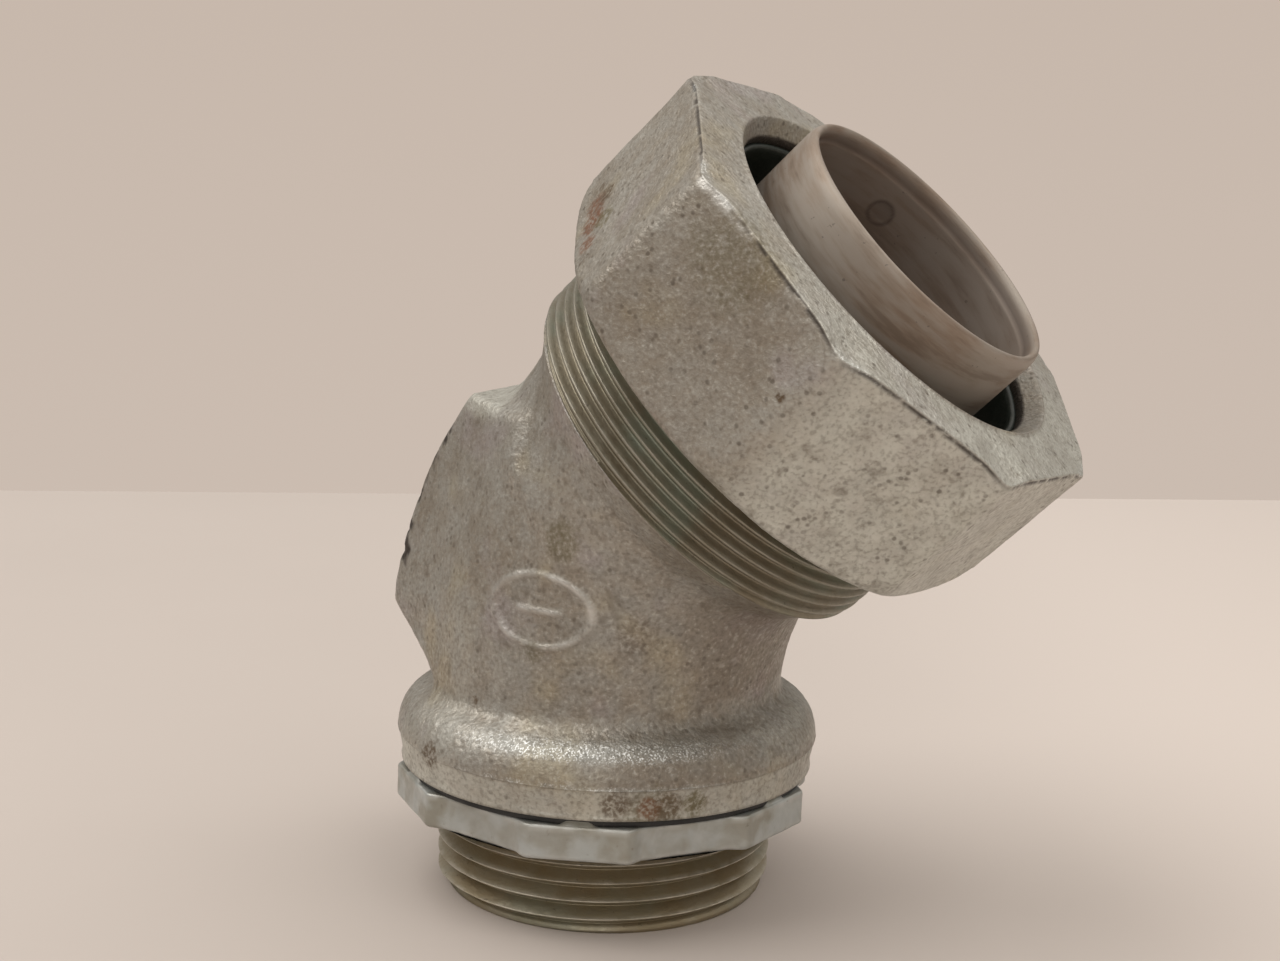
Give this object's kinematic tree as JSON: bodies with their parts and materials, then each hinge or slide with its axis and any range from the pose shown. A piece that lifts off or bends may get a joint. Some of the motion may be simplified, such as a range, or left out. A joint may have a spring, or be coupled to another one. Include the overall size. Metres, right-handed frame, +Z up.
{
  "type": "conduit connector elbow",
  "caption": "45 degree liquid-tight connector elbow: threaded hub with flange, gasket and locknut, angled branch with octagonal gland nut, sealing ring and ferrule.",
  "frame": {"origin": "on the hub axis, at the underside of the body's flange", "axes": "+Z up the hub axis into the elbow; the branch leaves at 45 degrees between +Z and +X; Y is normal to the bend's plane"},
  "size_m": [0.0821, 0.0616, 0.0992],
  "materials": {
    "zinc_plated_casting": "sandy casting skin, zinc plated, dulled",
    "zinc_plated_nut": "pitted casting skin, zinc plated, worn edges",
    "sealing_ring_plastic": "moulded, dark",
    "ferrule_steel": "turned, lightly tarnished",
    "locknut_zinc": "bright zinc plate",
    "gasket_rubber": "smooth black rubber"
  },
  "bodies": {
    "elbow": {"body": "zinc_plated_casting"},
    "seal": {"sealing_ring": "sealing_ring_plastic"},
    "nut": {"gland_nut": "zinc_plated_nut"},
    "ferrule": {"ferrule": "ferrule_steel"},
    "gasket": {"face_gasket": "gasket_rubber"},
    "locknut": {"locknut": "locknut_zinc"}
  },
  "joints": [
    {"name": "gland_travel", "type": "slide", "parent": "elbow", "child": "seal", "axis": [0.7071, 0, 0.7071], "range_m": [-0.00107, 0.0103]},
    {"name": "gland_turn", "type": "hinge", "parent": "seal", "child": "nut", "pos_m": [0, 0, 0.0276], "axis": [0.7071, 0, 0.7071], "range_deg": [-240, 2300]},
    {"name": "ferrule_spin", "type": "hinge", "parent": "elbow", "child": "ferrule", "pos_m": [0, 0, 0.0276], "axis": [0.7071, 0, 0.7071], "continuous": true},
    {"name": "locknut_turn", "type": "hinge", "parent": "elbow", "child": "gasket", "pos_m": [0, 0, 0], "axis": [0, 0, 1], "range_deg": [-2430, 0]},
    {"name": "locknut_travel", "type": "slide", "parent": "gasket", "child": "locknut", "axis": [0, 0, 1], "range_m": [-0.015, 0.0001]}
  ],
  "couplings": [
    {"joint": "gland_travel", "follows": "gland_turn", "m_per_rad": 0.00025266},
    {"joint": "locknut_travel", "follows": "locknut_turn", "m_per_rad": 0.00035152}
  ]
}
